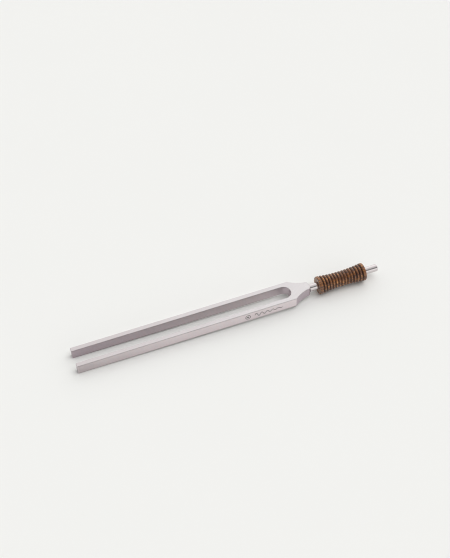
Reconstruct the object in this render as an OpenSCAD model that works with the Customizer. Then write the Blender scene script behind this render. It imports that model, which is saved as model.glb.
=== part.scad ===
// Tuning fork: a milled aluminium bar with two long tines, a polished round stem screwed
// into its neck, and a ribbed hardwood grip bonded on the stem.
//
// Millimetres. The fork lies flat: +X runs along it from the tine tips to the foot of the
// stem, Y across the two tines, +Z up through the bar. The origin is on the stem's axis,
// half-way along the fork's whole length.

/* [Bar and tines] */
// Width of the fork across both tines
fork_w = 20; // [16:0.5:30]
// Thickness of the bar that the fork is milled from
bar_t = 8; // [7:0.5:12]
// Thickness of each tine in the direction it swings
tine_t = 4; // [2.5:0.25:6]
// Depth of the slot, from the tine tips to the crown of its round end
slot_depth = 175.5; // [120:0.5:240]

/* [Shoulders and neck] */
// Distance along the fork from the slot's crown to the two shoulder corners
shoulder_set = 1; // [0:0.25:6]
// Length along the fork of each hollow shoulder curve
shoulder_len = 12; // [8:0.5:16]
// Radius of the hollow shoulder curves
shoulder_r = 30; // [20:1:80]
// Width of the neck that takes the stem
neck_w = 8.4; // [7.6:0.1:12]
// Length of the straight end of the neck
neck_len = 3; // [3:0.5:8]
// Radius of the two corners at the neck's end, seen from above
neck_corner_r = 2.6; // [0.5:0.1:3]

/* [Stem] */
// Diameter of the round stem
stem_d = 6; // [5.5:0.1:7]
// Bare stem between the neck and the grip
stem_gap = 7.2; // [2:0.2:20]
// Bare stem beyond the grip, which is the foot that is held against a resonator
foot_len = 11.8; // [5:0.2:40]
// Chamfer round the foot
foot_chamfer = 0.6; // [0.2:0.1:1.5]

/* [Screwed joint] */
// Outside diameter of the stem's thread
thread_d = 5; // [4:0.1:5.2]
// Pitch of the thread
thread_pitch = 0.8; // [0.5:0.1:1]
// Length of the stem's screwed end
thread_len = 10; // [6:0.5:11]
// Radial clearance between the thread and the tapped hole
thread_gap = 0.05; // [0.02:0.01:0.1]
// Depth of the tapped hole past the end of the screw
hole_relief = 1; // [0.5:0.1:1.5]

/* [Grip] */
// Length of the grip
grip_len = 40; // [30:0.5:80]
// Diameter of the collar at each end of the grip
collar_d = 14.4; // [12.5:0.1:20]
// Length of each collar
collar_len = 2.8; // [2:0.1:5]
// Rounding of each collar's outer rim
rim_r = 0.8; // [0.2:0.1:0.9]
// Diameter of the grip at its waist, over the ribs
waist_d = 12.1; // [10:0.1:12.4]
// Number of turned grooves
groove_count = 14; // [6:1:14]
// Width of each groove at the surface
groove_w = 1.15; // [0.6:0.05:1.4]
// Depth of each groove
groove_depth = 0.75; // [0.4:0.05:0.9]
// Radial thickness of the adhesive between the grip and the stem
glue_gap = 0.05; // [0.02:0.01:0.2]

/* [Adhesive grooves on the stem, inside the grip] */
// Number of shallow grooves that key the adhesive
key_count = 3; // [2:1:6]
// Width of each one
key_w = 1.5; // [0.8:0.1:3]
// Depth of each one
key_depth = 0.2; // [0.1:0.05:0.4]

/* [Hidden] */
$fn = 96;

// How far cutting shapes run past what they cut, and merging shapes run into each other
lap = 0.2;
slot_w = fork_w - 2 * tine_t;

// Stations along the fork
fork_len = slot_depth + shoulder_set + shoulder_len + neck_len + stem_gap + grip_len + foot_len;
tip_x = -fork_len / 2;
crown_x = tip_x + slot_depth;
shoulder_x = crown_x + shoulder_set;
neck_x = shoulder_x + shoulder_len;
bar_end_x = neck_x + neck_len;
grip_x = bar_end_x + stem_gap;
grip_end_x = grip_x + grip_len;
foot_x = grip_end_x + foot_len;

// Centre of the hollow shoulder curve, from the chord between its two ends
shoulder_drop = (fork_w - neck_w) / 2;
shoulder_chord = norm([shoulder_len, shoulder_drop]);
shoulder_rise = sqrt(pow(shoulder_r, 2) - pow(shoulder_chord / 2, 2)) / shoulder_chord;
shoulder_cx = shoulder_x + shoulder_len / 2 + shoulder_drop * shoulder_rise;
shoulder_cy = (fork_w + neck_w) / 4 + shoulder_len * shoulder_rise;

// Thread with 60 degree flanks, drawn as rings a pitch apart
thread_depth = 0.61 * thread_pitch;
thread_core_r = thread_d / 2 - thread_depth;
flank = thread_depth * tan(30);
crest = thread_pitch / 8;
thread_turns = floor(thread_len / thread_pitch);
screw_x = bar_end_x - thread_len;
hole_x = screw_x - hole_relief;
drill_tip = (thread_core_r + thread_gap) / tan(59);

// Grip profile: radius across, length along
waist_sag = (collar_d - waist_d) / 2;
waist_half = grip_len / 2 - collar_len;
waist_curve_r = (pow(waist_half, 2) + pow(waist_sag, 2)) / (2 * waist_sag);
// The end grooves bite a little into the collars
first_groove_z = collar_len - lap + groove_w / 2;
groove_pitch = (grip_len - 2 * first_groove_z) / (groove_count - 1);
// Circle that cuts a groove of this width and depth
groove_r = (pow(groove_w / 2, 2) + pow(groove_depth, 2)) / (2 * groove_depth);
bore_r = stem_d / 2 + glue_gap;

// Turns a profile (radius, distance) about the fork's axis, distance 0 at x
module turned(x) {
    translate([x, 0, 0])
        rotate([0, 90, 0])
            rotate_extrude()
                children();
}

// Points along a threaded wall, from its inner end outwards, standing clear of the core by gap
function thread_wall(gap) = [
    for (i = [0 : thread_turns - 1])
        for (p = [[0, 0], [thread_depth, flank], [thread_depth, flank + crest], [0, 2 * flank + crest]])
            [thread_core_r + gap + p[0], i * thread_pitch + p[1]]
];

// Radius of the grip over its ribs, at a distance z from its end
function rib_radius(z) =
    waist_d / 2 + waist_curve_r - sqrt(pow(waist_curve_r, 2) - pow(z - grip_len / 2, 2));

module bar_outline() {
    difference() {
        translate([tip_x, -fork_w / 2])
            square([neck_x + lap - tip_x, fork_w]);
        for (side = [-1, 1])
            translate([shoulder_cx, side * shoulder_cy])
                circle(r = shoulder_r, $fn = 240);
    }
    neck_outline();
}

module neck_outline() {
    start_x = shoulder_x + lap;
    inset = neck_corner_r;
    translate([start_x, -neck_w / 2])
        square([bar_end_x - inset - start_x, neck_w]);
    translate([start_x, inset - neck_w / 2])
        square([bar_end_x - start_x, neck_w - 2 * inset]);
    for (side = [-1, 1])
        translate([bar_end_x - inset, side * (neck_w / 2 - inset)])
            circle(r = inset);
}

module slot_outline() {
    straight = slot_depth - slot_w / 2;
    translate([tip_x - lap, -slot_w / 2])
        square([straight + lap, slot_w]);
    translate([tip_x + straight, 0])
        circle(d = slot_w);
}

// Tapped hole in the neck, with the cone that the drill leaves at its bottom
module tapped_hole() {
    bottom_r = thread_core_r + thread_gap;
    turned(screw_x)
        polygon(concat(
            [[0, -hole_relief - drill_tip], [bottom_r, -hole_relief]],
            thread_wall(thread_gap),
            [[bottom_r, thread_len + lap], [0, thread_len + lap]]
        ));
}

module fork_body() {
    color("gainsboro")
        difference() {
            translate([0, 0, -bar_t / 2])
                linear_extrude(bar_t)
                    difference() {
                        bar_outline();
                        slot_outline();
                    }
            tapped_hole();
        }
}

// Round stem: screwed end, seat against the neck, adhesive grooves under the grip, foot
module stem() {
    r = stem_d / 2;
    first_key = grip_x - screw_x;
    key_pitch = (grip_len - key_w) / (key_count - 1);
    key_wall = [
        for (i = [0 : key_count - 1])
            for (p = [[0, 0], [key_depth, 0], [key_depth, key_w], [0, key_w]])
                [r - p[0], first_key + i * key_pitch + p[1]]
    ];
    color("silver")
        turned(screw_x)
            polygon(concat(
                [[0, 0]],
                thread_wall(0),
                [[thread_core_r, thread_len], [r, thread_len]],
                key_wall,
                [[r, foot_x - foot_chamfer - screw_x], [r - foot_chamfer, foot_x - screw_x]],
                [[0, foot_x - screw_x]]
            ));
}

// Half section of the plain grip: bore, end faces and rounded collar rims
module grip_blank() {
    outer_r = collar_d / 2;
    translate([bore_r, 0])
        square([outer_r - rim_r - bore_r, grip_len]);
    translate([bore_r, rim_r])
        square([outer_r - bore_r, grip_len - 2 * rim_r]);
    for (z = [rim_r, grip_len - rim_r])
        translate([outer_r - rim_r, z])
            circle(r = rim_r);
}

module waist_cut() {
    intersection() {
        translate([waist_d / 2 + waist_curve_r, grip_len / 2])
            circle(r = waist_curve_r, $fn = 720);
        translate([waist_d / 2 - lap, collar_len])
            square([waist_sag + 2 * lap, grip_len - 2 * collar_len]);
    }
}

module groove_cuts() {
    for (i = [0 : groove_count - 1]) {
        z = first_groove_z + i * groove_pitch;
        translate([rib_radius(z) - groove_depth + groove_r, z])
            circle(r = groove_r, $fn = 48);
    }
}

module grip() {
    color("saddlebrown")
        turned(grip_x)
            difference() {
                grip_blank();
                waist_cut();
                groove_cuts();
            }
}

fork_body();
stem();
grip();
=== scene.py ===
"""A tuning fork lying on a pale floor in soft studio light.

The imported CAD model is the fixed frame. The aluminium bar and the polished stem are its own
nodes with finer edges and finished metals. The wooden grip is a lathe-turned mesh that stands
for its CAD node. Lengths are in metres: +X runs from the tine tips to the foot of the stem,
Y across the two tines, and Z up through the bar.
"""

import math

import bpy
from mathutils import Matrix, Vector, noise


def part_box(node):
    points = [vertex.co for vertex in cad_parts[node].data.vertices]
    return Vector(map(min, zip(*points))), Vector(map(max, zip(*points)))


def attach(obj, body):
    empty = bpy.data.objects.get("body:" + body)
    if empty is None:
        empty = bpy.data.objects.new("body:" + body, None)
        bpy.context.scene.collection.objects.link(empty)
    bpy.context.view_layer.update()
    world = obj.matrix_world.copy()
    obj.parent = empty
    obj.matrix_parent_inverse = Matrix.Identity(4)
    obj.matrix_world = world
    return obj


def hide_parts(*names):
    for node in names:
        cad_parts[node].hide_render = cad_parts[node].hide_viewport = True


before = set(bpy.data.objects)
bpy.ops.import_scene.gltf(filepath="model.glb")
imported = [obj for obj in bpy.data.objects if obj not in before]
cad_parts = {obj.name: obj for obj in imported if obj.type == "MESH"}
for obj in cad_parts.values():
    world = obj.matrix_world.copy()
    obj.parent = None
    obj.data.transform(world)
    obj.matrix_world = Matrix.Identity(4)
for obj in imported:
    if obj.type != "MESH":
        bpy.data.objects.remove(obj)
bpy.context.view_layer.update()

MM = 0.001

# Studio: the sky's level by degrees round the fork's axis, from the front horizon over the top
# to the back one. The whole is brighter to the right.
SKY_LEVELS = (
    (0, 1.12),
    (20, 1.00),
    (36, 0.33),
    (44, 0.13),
    (52, 0.15),
    (62, 0.50),
    (76, 0.66),
    (105, 0.88),
    (132, 1.18),
    (150, 1.15),
    (180, 1.02),
)
SKY_MIDDLE = 0.92
SKY_TO_RIGHT = 0.60
SKY_LEAST = 0.66
SKY_BLUE = 0.99    # blue as a share of the level
FILL_STRENGTH = 1.12
FILL_TRAVEL = (-0.40, 0.20, -0.90)    # the way its light goes, mostly down

# Boxes of the pieces, which the sizes below follow
BAR_LOW, BAR_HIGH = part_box("fork_body")
GRIP_LOW, GRIP_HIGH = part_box("grip")
STEM_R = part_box("stem")[1].y
SHOULDER_X = BAR_HIGH.x - 15.0 * MM    # where the bar's sides end and its shoulders begin
BAR_BREAK = 0.25 * MM
STEM_BREAK = 0.12 * MM

# Grip, as it is turned
COLLAR_R = GRIP_HIGH.y
BORE_R = STEM_R + 0.05 * MM
BORE_BREAK = 0.25 * MM
GRIP_LEN = GRIP_HIGH.x - GRIP_LOW.x
COLLAR_LEN = 2.8 * MM
RIM_R = 0.8 * MM
WAIST_R = 6.05 * MM
GROOVES = 14
GROOVE_W = 1.15 * MM
GROOVE_LAP = 0.2 * MM    # how far the end grooves bite into the collars
GROOVE_DEPTH = 0.92 * MM
GROOVE_REACH = 0.98 * MM    # from a groove's middle to where its rounded lips end
FIRST_GROOVE = COLLAR_LEN - GROOVE_LAP + GROOVE_W / 2
GROOVE_PITCH = (GRIP_LEN - 2 * FIRST_GROOVE) / (GROOVES - 1)
COLLAR_STAIN = 0.16


# ---------------------------------------------------------------- node graph helper


def fill_ramp(ramp, stops):
    """Sets a colour ramp to its (position, (red, green, blue)) stops, in linear light."""
    while len(ramp.elements) > 1:
        ramp.elements.remove(ramp.elements[-1])
    ramp.elements[0].position = stops[0][0]
    ramp.elements[0].color = (*stops[0][1], 1.0)
    for position, colour in stops[1:]:
        ramp.elements.new(position).color = (*colour, 1.0)


class Graph:
    """A material's nodes, with short calls for the ones used here. A value or a socket goes in
    as an argument, and a socket comes out."""

    def __init__(self, name):
        self.material = bpy.data.materials.new(name)
        self.material.use_nodes = True
        self.tree = self.material.node_tree
        self.tree.nodes.clear()
        self.shader = self.add("ShaderNodeBsdfPrincipled")
        output = self.add("ShaderNodeOutputMaterial")
        self.tree.links.new(self.shader.outputs["BSDF"], output.inputs["Surface"])
        self.place = self.add("ShaderNodeTexCoord").outputs["Object"]

    def add(self, kind, **properties):
        node = self.tree.nodes.new(kind)
        for key, value in properties.items():
            setattr(node, key, value)
        return node

    def feed(self, socket, value):
        if isinstance(value, bpy.types.NodeSocket):
            self.tree.links.new(value, socket)
        else:
            socket.default_value = value

    def math(self, operation, *values, clamp=False):
        node = self.add("ShaderNodeMath", operation=operation, use_clamp=clamp)
        for socket, value in zip(node.inputs, values):
            self.feed(socket, value)
        return node.outputs[0]

    def axes(self):
        node = self.add("ShaderNodeSeparateXYZ")
        self.feed(node.inputs[0], self.place)
        return node.outputs

    def noise(self, scale, detail=2.0, roughness=0.5, distortion=0.0, turn=0.0):
        """Noise from 0 to 1, with scale in cells a metre along each axis, turned about Z."""
        node = self.add("ShaderNodeTexNoise")
        mapping = self.add("ShaderNodeMapping", vector_type="TEXTURE")
        self.feed(mapping.inputs["Vector"], self.place)
        mapping.inputs["Rotation"].default_value = (0.0, 0.0, math.radians(turn))
        mapping.inputs["Scale"].default_value = tuple(1.0 / cells for cells in scale)
        self.feed(node.inputs["Vector"], mapping.outputs[0])
        node.inputs["Scale"].default_value = 1.0
        node.inputs["Detail"].default_value = detail
        node.inputs["Roughness"].default_value = roughness
        node.inputs["Distortion"].default_value = distortion
        return node.outputs["Fac"]

    def remap(self, value, low, high, to_low=0.0, to_high=1.0):
        """Eases value from to_low at low to to_high at high."""
        node = self.add("ShaderNodeMapRange", interpolation_type="SMOOTHSTEP")
        for socket, number in zip(node.inputs, (value, low, high, to_low, to_high)):
            self.feed(socket, number)
        return node.outputs[0]

    def share(self, value, low, high):
        """How far value is on its straight way from low to high, from 0 to 1."""
        node = self.add("ShaderNodeMapRange")
        for socket, number in zip(node.inputs, (value, low, high)):
            self.feed(socket, number)
        return node.outputs[0]

    def ramp(self, value, *stops):
        """A colour ramp through (position, (red, green, blue)) stops, in linear light."""
        node = self.add("ShaderNodeValToRGB")
        self.feed(node.inputs[0], value)
        fill_ramp(node.color_ramp, stops)
        return node.outputs[0]

    def mix(self, factor, a, b, blend="MIX"):
        node = self.add("ShaderNodeMix", data_type="RGBA", blend_type=blend)
        self.feed(node.inputs[0], factor)
        for socket, value in zip((node.inputs[6], node.inputs[7]), (a, b)):
            self.feed(socket, (*value, 1.0) if isinstance(value, tuple) else value)
        return node.outputs[2]

    def bump(self, height, distance, strength):
        node = self.add("ShaderNodeBump")
        node.inputs["Strength"].default_value = strength
        node.inputs["Distance"].default_value = distance
        self.feed(node.inputs["Height"], height)
        return node.outputs[0]

    def set(self, **sockets):
        for name, value in sockets.items():
            self.feed(self.shader.inputs[name.replace("_", " ")], value)


# ---------------------------------------------------------------- materials


def brushed_aluminium():
    """Satin aluminium: fine brushing along the bar, a faint cross-hatch, drawn streaks, patches
    of slanting scuffs, and an etched mark."""
    g = Graph("brushed_aluminium")
    brushing = g.noise((60, 9000, 9000), detail=3, roughness=0.6)
    cross = g.noise((700, 500, 60), detail=2)
    cloud = g.noise((45, 90, 90), detail=2)
    drawn = g.noise((22, 2600, 2600), detail=3, roughness=0.65)
    scratches = g.noise((90, 2200, 2200), detail=2, turn=38)
    worn = g.noise((30, 60, 60), detail=1)
    scuffs = g.math("MULTIPLY", g.remap(scratches, 0.60, 0.68), g.remap(worn, 0.45, 0.6))
    mark = etched_mark(g)
    metal = g.ramp(cloud, (0.3, (0.625, 0.574, 0.584)), (0.7, (0.655, 0.606, 0.614)))
    layers = (
        (g.remap(cross, 0.35, 0.65, 0.0, 0.10), (0.57, 0.524, 0.53)),
        (g.remap(drawn, 0.35, 0.65, 0.0, 0.16), (0.54, 0.495, 0.50)),
        (g.math("MULTIPLY", scuffs, 0.35), (0.78, 0.74, 0.745)),
    )
    for factor, tint in layers:
        metal = g.mix(factor, metal, tint)
    # painted light and shade on the walls: brighter towards the neck, darker on the shoulders
    metal = g.mix(1.0, metal, painted_wall_shading(g), blend="MULTIPLY")
    metal = g.mix(g.math("MULTIPLY", mark, 0.92), metal, (0.03, 0.028, 0.03))
    rough = g.remap(brushing, 0.3, 0.7, 0.30, 0.40)
    height = g.math("ADD", brushing, g.math("MULTIPLY", cross, 0.4))
    g.set(
        Base_Color=metal,
        Metallic=g.math("SUBTRACT", 1.0, g.math("MULTIPLY", mark, 0.8)),
        Roughness=g.math("MAXIMUM", rough, g.math("MULTIPLY", mark, 0.6)),
        Normal=g.bump(height, 0.004 * MM, 0.6),
    )
    return g.material


def painted_wall_shading(g):
    """Painted light and shade that multiply the metal's colour. Along the outer sides and the slot
    the walls are painted brighter from the tips to the neck. The shoulders get painted shade, and
    the flat faces keep the metal's colour, but for a little less red towards the neck."""
    x, y, z = g.axes()
    along = g.share(x, BAR_LOW.x, SHOULDER_X)
    # painted light: the outer sides brighter from the tips to the neck
    outer = g.ramp(
        along,
        (0.0, (0.885, 0.862, 0.872)),
        (0.12, (0.99, 0.966, 0.978)),
        (0.40, (1.185, 1.158, 1.172)),
        (1.0, (1.28, 1.25, 1.265)),
    )
    # painted light: the slot's walls brighter towards the neck
    slot = g.ramp(
        along,
        (0.0, (0.775, 0.720, 0.768)),
        (0.6, (0.785, 0.748, 0.765)),
        (0.83, (0.855, 0.818, 0.830)),
        (1.0, (1.045, 1.000, 1.050)),
    )
    flat = g.ramp(along, (0.0, (1.0, 1.0, 1.0)), (1.0, (1.01, 1.045, 1.045)))
    wall = g.mix(g.math("GREATER_THAN", g.math("ABSOLUTE", y), 0.98 * BAR_HIGH.y), slot, outer)
    # painted shade on the shoulders
    wall = g.mix(g.math("GREATER_THAN", x, SHOULDER_X), wall, (0.855, 0.80, 0.86))
    on_wall = g.math("LESS_THAN", g.math("ABSOLUTE", z), BAR_HIGH.z - 0.2 * MM)
    return g.mix(on_wall, flat, wall)


def etched_mark(g):
    """0 or 1: a laser-etched mark on the outer side of the near tine. It is a plain drawing of
    a note dying away: a ringed dot, and then a wave whose swing shrinks along the tine."""
    x, y, z = g.axes()
    drawn = g.math("MAXIMUM", dying_wave(g, x, z), ringed_dot(g, x, z))
    outer_side = g.math("LESS_THAN", y, BAR_LOW.y + 0.1 * MM)
    return g.math("MULTIPLY", drawn, outer_side)


def dying_wave(g, x, z):
    start, length, cycles, swing = 16.3 * MM, 23.0 * MM, 5.0, 1.7 * MM
    lost_by_end, half_stroke = 0.75, 0.27 * MM
    along = g.math("DIVIDE", g.math("SUBTRACT", x, start), length)
    begun = g.math("GREATER_THAN", along, 0.0)
    inside = g.math("MULTIPLY", begun, g.math("LESS_THAN", along, 1.0))
    fade = g.math("SUBTRACT", 1.0, g.math("MULTIPLY", along, lost_by_end))
    phase = g.math("MULTIPLY", along, cycles * math.tau)
    line = g.math("MULTIPLY", g.math("MULTIPLY", g.math("SINE", phase), fade), swing)
    steepest = swing * cycles * math.tau / length
    slope = g.math("MULTIPLY", g.math("MULTIPLY", g.math("COSINE", phase), fade), steepest)
    stretch = g.math("SQRT", g.math("ADD", 1.0, g.math("POWER", slope, 2.0)))
    away = g.math("DIVIDE", g.math("ABSOLUTE", g.math("SUBTRACT", z, line)), stretch)
    return g.math("MULTIPLY", g.math("LESS_THAN", away, half_stroke), inside)


def ringed_dot(g, x, z):
    middle, ring_r, dot_r, half_stroke = 10.6 * MM, 1.9 * MM, 0.8 * MM, 0.28 * MM
    across = g.math("POWER", g.math("SUBTRACT", x, middle), 2.0)
    r = g.math("SQRT", g.math("ADD", across, g.math("POWER", z, 2.0)))
    off_ring = g.math("ABSOLUTE", g.math("SUBTRACT", r, ring_r))
    ring = g.math("LESS_THAN", off_ring, half_stroke)
    return g.math("MAXIMUM", ring, g.math("LESS_THAN", r, dot_r))


def polished_steel():
    """The stem: bright turned and polished rod, with fine rings left by the polishing cloth."""
    g = Graph("polished_steel")
    rings = g.noise((14000, 300, 300), detail=2)
    smear = g.noise((250, 900, 900), detail=3)
    g.set(
        Base_Color=g.ramp(smear, (0.3, (0.645, 0.598, 0.602)), (0.7, (0.685, 0.640, 0.642))),
        Metallic=1.0,
        Roughness=g.remap(smear, 0.25, 0.75, 0.10, 0.20),
        Normal=g.bump(rings, 0.002 * MM, 0.5),
    )
    return g.material


def turned_wood():
    """Oiled open-grained hardwood: flecked figure and long dark pores. A value carried by the mesh,
    from 0 to 1, darkens it and dulls its gloss: painted shade in the grooves, and a darker stain
    on the collars. The cut end gets painted light: it is a little lighter."""
    g = Graph("turned_wood")
    figure = g.noise((110, 700, 700), detail=3, roughness=0.6, distortion=0.3)
    fleck = g.noise((480, 1300, 1300), detail=3, roughness=0.6)
    pores = g.noise((330, 2600, 2600), detail=2, roughness=0.5)
    grain = g.math("ADD", g.math("MULTIPLY", figure, 0.5), g.math("MULTIPLY", fleck, 0.5))
    pore_mask = g.remap(pores, 0.34, 0.44, 1.0, 0.0)
    # painted light: the grip's end face towards the fork, lit dimly, is made lighter
    painted_light_on_cut_end = g.math("LESS_THAN", g.axes()[0], GRIP_LOW.x + 0.2 * MM)
    # painted shade in the grooves and the collars' stain, from the mesh
    groove_shade_and_stain = g.add("ShaderNodeAttribute", attribute_name="groove_shade_and_stain").outputs["Fac"]
    base = g.ramp(
        grain,
        (0.38, (0.052, 0.012, 0.002)),
        (0.46, (0.124, 0.035, 0.005)),
        (0.53, (0.250, 0.082, 0.011)),
        (0.62, (0.540, 0.212, 0.036)),
    )
    layers = (
        (pore_mask, 0.8, (0.030, 0.012, 0.006)),
        # painted light on the cut end
        (painted_light_on_cut_end, 0.22, (0.50, 0.20, 0.055)),
        # painted shade in the grooves, and the collars' stain
        (groove_shade_and_stain, 0.95, (0.014, 0.004, 0.002)),
    )
    for mask, strength, tint in layers:
        base = g.mix(g.math("MULTIPLY", mask, strength), base, tint)
    height = g.math("SUBTRACT", g.math("MULTIPLY", fleck, 0.4), pore_mask)
    rough = g.math("ADD", g.remap(fleck, 0.3, 0.7, 0.32, 0.44), g.math("MULTIPLY", groove_shade_and_stain, 0.5))
    coat = 0.55
    g.set(
        Base_Color=base,
        Roughness=rough,
        Specular_IOR_Level=0.7,
        Coat_Weight=g.math("SUBTRACT", coat, g.math("MULTIPLY", groove_shade_and_stain, coat), clamp=True),
        Coat_Roughness=0.25,
        Normal=g.bump(height, 0.04 * MM, 0.6),
    )
    return g.material


def pale_floor():
    """Matt off-white paper."""
    g = Graph("pale_floor")
    cloud = g.noise((9, 9, 9), detail=2)
    g.set(
        Base_Color=g.ramp(cloud, (0.3, (0.838, 0.838, 0.822)), (0.7, (0.842, 0.842, 0.826))),
        Roughness=0.9,
        Specular_IOR_Level=0.0,
    )
    return g.material


# ---------------------------------------------------------------- the metal pieces


def dress(node, material):
    """Gives a CAD node its material."""
    node.data.materials.clear()
    node.data.materials.append(material)


def weigh_edges(mesh, keep):
    """Marks the sharp edges for the bevel, but for those that keep(point) says stay sharp. The
    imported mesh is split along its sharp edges, so they are the edges with one face."""
    uses = [0] * len(mesh.edges)
    for loop in mesh.loops:
        uses[loop.edge_index] += 1
    weight = mesh.attributes.new("bevel_weight_edge", "FLOAT", "EDGE")
    for edge in mesh.edges:
        sharp = uses[edge.index] == 1
        kept = any(keep(mesh.vertices[i].co) for i in edge.vertices)
        weight.data[edge.index].value = 1.0 if sharp and not kept else 0.0
        edge.use_edge_sharp = sharp and kept


def break_edges(node, width, keep):
    """Breaks a CAD node's sharp edges by a small chamfer with smooth shading, as modifiers."""
    weigh_edges(node.data, keep)
    weld = node.modifiers.new("joined_faces", "WELD")
    weld.merge_threshold = 0.001 * MM
    flat = node.modifiers.new("flat_faces", "DECIMATE")
    flat.decimate_type = "DISSOLVE"
    flat.angle_limit = math.radians(0.2)
    bevel = node.modifiers.new("edge_break", "BEVEL")
    bevel.limit_method = "WEIGHT"
    bevel.width = width
    bevel.segments = 1
    bevel.use_clamp_overlap = False
    shade = node.modifiers.new("face_shading", "WEIGHTED_NORMAL")
    shade.keep_sharp = True


def in_tapped_hole(p):
    """The threaded hole in the neck, which the stem hides."""
    return p.x > SHOULDER_X and math.hypot(p.y, p.z) < 0.9 * STEM_R


def hidden_on_stem(p):
    """The stem's screwed end, its adhesive grooves under the grip, and all near its axis."""
    in_grip = GRIP_LOW.x + 0.5 * MM < p.x < GRIP_HIGH.x - 0.5 * MM
    return in_grip or p.x < BAR_HIGH.x - 0.1 * MM or math.hypot(p.y, p.z) < 0.75 * STEM_R


# ---------------------------------------------------------------- the turned grip


def envelope(z):
    """Radius of the grip over its ribs at a distance z from its fork end."""
    sag = COLLAR_R - WAIST_R
    half = GRIP_LEN / 2 - COLLAR_LEN
    curve = (half**2 + sag**2) / (2 * sag)
    off = min(abs(z - GRIP_LEN / 2), half)
    return WAIST_R + curve - math.sqrt(curve**2 - off**2)


def groove_share(z):
    """How deep in a groove the surface is at z, from 0 on a rib to 1 at a groove's floor."""
    turn = round((z - FIRST_GROOVE) / GROOVE_PITCH)
    turn = min(max(turn, 0), GROOVES - 1)
    off = abs(z - FIRST_GROOVE - turn * GROOVE_PITCH) / GROOVE_REACH
    if off >= 1:
        return 0.0
    return (0.5 + 0.5 * math.cos(math.pi * off)) ** 0.7


def rim_drop(z):
    """How far the collar's rounded rim falls below the collar at a distance z from an end."""
    from_end = min(z, GRIP_LEN - z)
    if from_end >= RIM_R:
        return 0.0
    return RIM_R - math.sqrt(max(0.0, RIM_R**2 - (RIM_R - from_end) ** 2))


def grip_profile():
    """The grip's outline as (z, radius, darkening) points, along the outside and back through the
    bore. The darkening is painted shade in the grooves, least at the waist, and a light stain on
    the collars and the bore."""
    stations = round(GRIP_LEN / (0.1 * MM))
    collar = GRIP_LEN / 2 - COLLAR_LEN
    profile = []
    for i in range(stations + 1):
        z = GRIP_LEN * i / stations
        off = abs(z - GRIP_LEN / 2)
        share = groove_share(z)
        radius = envelope(z) - GROOVE_DEPTH * share - rim_drop(z)
        # painted shade in the grooves, least at the waist
        painted_groove_shade = share * (0.62 + 0.38 * min(off / (0.4 * GRIP_LEN), 1.0))
        profile.append((z, radius, max(painted_groove_shade, COLLAR_STAIN if off > collar else 0.0)))
    bore = (
        (GRIP_LEN, BORE_R + BORE_BREAK),
        (GRIP_LEN - BORE_BREAK, BORE_R),
        (BORE_BREAK, BORE_R),
        (0.0, BORE_R + BORE_BREAK),
    )
    return profile + [(z, radius, COLLAR_STAIN) for z, radius in bore]


def pore_relief(z, y, w):
    """Height of the wood's surface at a point, at most 0 and down to its open pores."""
    spot = Vector((z * 700, y * 2400, w * 2400))
    return 0.03 * MM * min(0.0, noise.noise(spot) + 0.15)


def turned_grip():
    """The grip as one lathe-turned mesh, with its bore and end faces."""
    around = 240
    profile = grip_profile()
    rings = len(profile)
    points, groove_shades_and_stains = [], []
    for z, radius, groove_shade_and_stain in profile:
        outside = radius > BORE_R + 1 * MM
        for k in range(around):
            angle = math.tau * k / around
            y, w = math.cos(angle), math.sin(angle)
            r = radius + (pore_relief(z, y * radius, w * radius) if outside else 0.0)
            points.append((GRIP_LOW.x + z, r * y, r * w))
            groove_shades_and_stains.append(groove_shade_and_stain)
    faces = []
    for i in range(rings):
        a, b = i * around, (i + 1) % rings * around
        for k in range(around):
            n = (k + 1) % around
            faces.append((a + k, a + n, b + n, b + k))
    mesh = bpy.data.meshes.new("turned_grip")
    mesh.from_pydata(points, [], faces)
    # painted shade in the grooves and the collars' stain, for the wood to read
    mesh.attributes.new("groove_shade_and_stain", "FLOAT", "POINT").data.foreach_set("value", groove_shades_and_stains)
    mesh.validate()
    mesh.shade_smooth()
    mesh.materials.append(turned_wood())
    grip = bpy.data.objects.new("turned_grip", mesh)
    bpy.context.scene.collection.objects.link(grip)
    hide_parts("grip")
    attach(grip, "root")


# ---------------------------------------------------------------- studio


def resting_slope():
    """Angle of the floor, which the fork touches at its tine tips and its nearer collar."""
    fall = BAR_LOW.z - GRIP_LOW.z
    run = GRIP_LOW.x + RIM_R - BAR_LOW.x
    return math.atan2(fall, run)


def floor():
    """A wide floor under the fork. The fork's frame is level, so the floor carries the tilt."""
    bpy.ops.mesh.primitive_grid_add(x_subdivisions=8, y_subdivisions=8, size=30.0)
    sheet = bpy.context.object
    sheet.name = "floor"
    tilt = Matrix.Rotation(resting_slope(), 4, "Y")
    touch = Vector((BAR_LOW.x, 0, BAR_LOW.z - 0.02 * MM))
    sheet.matrix_world = Matrix.Translation(touch) @ tilt
    sheet.data.materials.append(pale_floor())


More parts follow.
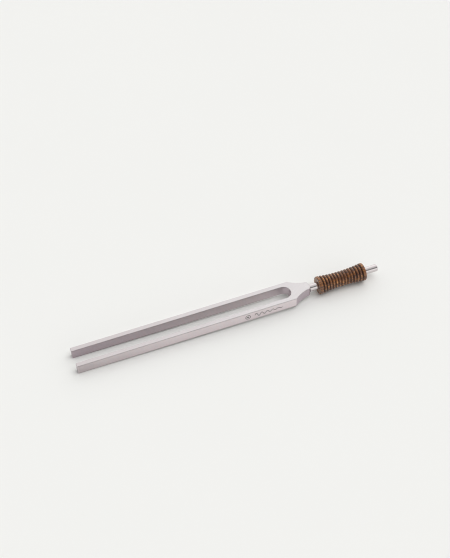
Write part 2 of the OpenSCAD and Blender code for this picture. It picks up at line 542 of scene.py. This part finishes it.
def studio_sky():
    """Long soft lights along the fork, in front of it and behind it, with a dim gap between them
    above the front. All are brighter to the right."""
    world = bpy.data.worlds.new("studio")
    bpy.context.scene.world = world
    world.use_nodes = True
    tree = world.node_tree
    tree.nodes.clear()

    def math_node(operation, *values):
        node = tree.nodes.new("ShaderNodeMath")
        node.operation = operation
        for socket, value in zip(node.inputs, values):
            if isinstance(value, float):
                socket.default_value = value
            else:
                tree.links.new(value, socket)
        return node.outputs[0]

    axes = tree.nodes.new("ShaderNodeSeparateXYZ")
    tree.links.new(tree.nodes.new("ShaderNodeTexCoord").outputs["Generated"], axes.inputs[0])
    x, y, z = axes.outputs
    turn = math_node("ARCTAN2", z, math_node("MULTIPLY", y, -1.0))
    ramp = tree.nodes.new("ShaderNodeValToRGB")
    tree.links.new(math_node("DIVIDE", turn, math.pi), ramp.inputs[0])
    stops = [(degrees / 180, (level, level, level * SKY_BLUE)) for degrees, level in SKY_LEVELS]
    fill_ramp(ramp.color_ramp, stops)
    light = tree.nodes.new("ShaderNodeBackground")
    tree.links.new(ramp.outputs[0], light.inputs["Color"])
    sideways = math_node("MULTIPLY_ADD", x, SKY_TO_RIGHT, SKY_MIDDLE)
    strength = math_node("MAXIMUM", sideways, SKY_LEAST)
    tree.links.new(strength, light.inputs["Strength"])
    output = tree.nodes.new("ShaderNodeOutputWorld")
    tree.links.new(light.outputs[0], output.inputs["Surface"])


def fill_light():
    """A very soft light from above that reaches all of the floor alike. Metal doesn't mirror it."""
    light = bpy.data.lights.new("soft_fill", "SUN")
    light.energy = FILL_STRENGTH
    light.angle = math.radians(50)
    fill = bpy.data.objects.new("soft_fill", light)
    bpy.context.scene.collection.objects.link(fill)
    fill.rotation_euler = Vector(FILL_TRAVEL).to_track_quat("-Z", "Y").to_euler()
    fill.visible_glossy = False


def camera():
    """Seen from the near side, a little from the tips' end, 46 degrees above the fork."""
    aim = Vector((8.86, 35.26, 0.0)) * MM
    azimuth, elevation, roll = (math.radians(a) for a in (18.73, 45.97, -3.05))
    distance = 832.4 * MM
    forward = Vector(
        (
            math.cos(elevation) * math.sin(azimuth),
            math.cos(elevation) * math.cos(azimuth),
            -math.sin(elevation),
        )
    )
    data = bpy.data.cameras.new("camera")
    data.lens = 67.37
    data.clip_start = 0.01
    data.clip_end = 50
    seen = bpy.data.objects.new("camera", data)
    bpy.context.scene.collection.objects.link(seen)
    level = forward.to_track_quat("-Z", "Y").to_matrix().to_4x4()
    turn = Matrix.Rotation(roll, 4, "Z")
    seen.matrix_world = Matrix.Translation(aim - forward * distance) @ level @ turn
    bpy.context.scene.camera = seen


# ---------------------------------------------------------------- the scene

scene = bpy.context.scene
scene.view_settings.view_transform = "Standard"
scene.cycles.filter_width = 1.1

camera()
studio_sky()
floor()
fill_light()

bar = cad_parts["fork_body"]
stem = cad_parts["stem"]
dress(bar, brushed_aluminium())
dress(stem, polished_steel())
break_edges(bar, BAR_BREAK, in_tapped_hole)
break_edges(stem, STEM_BREAK, hidden_on_stem)
turned_grip()
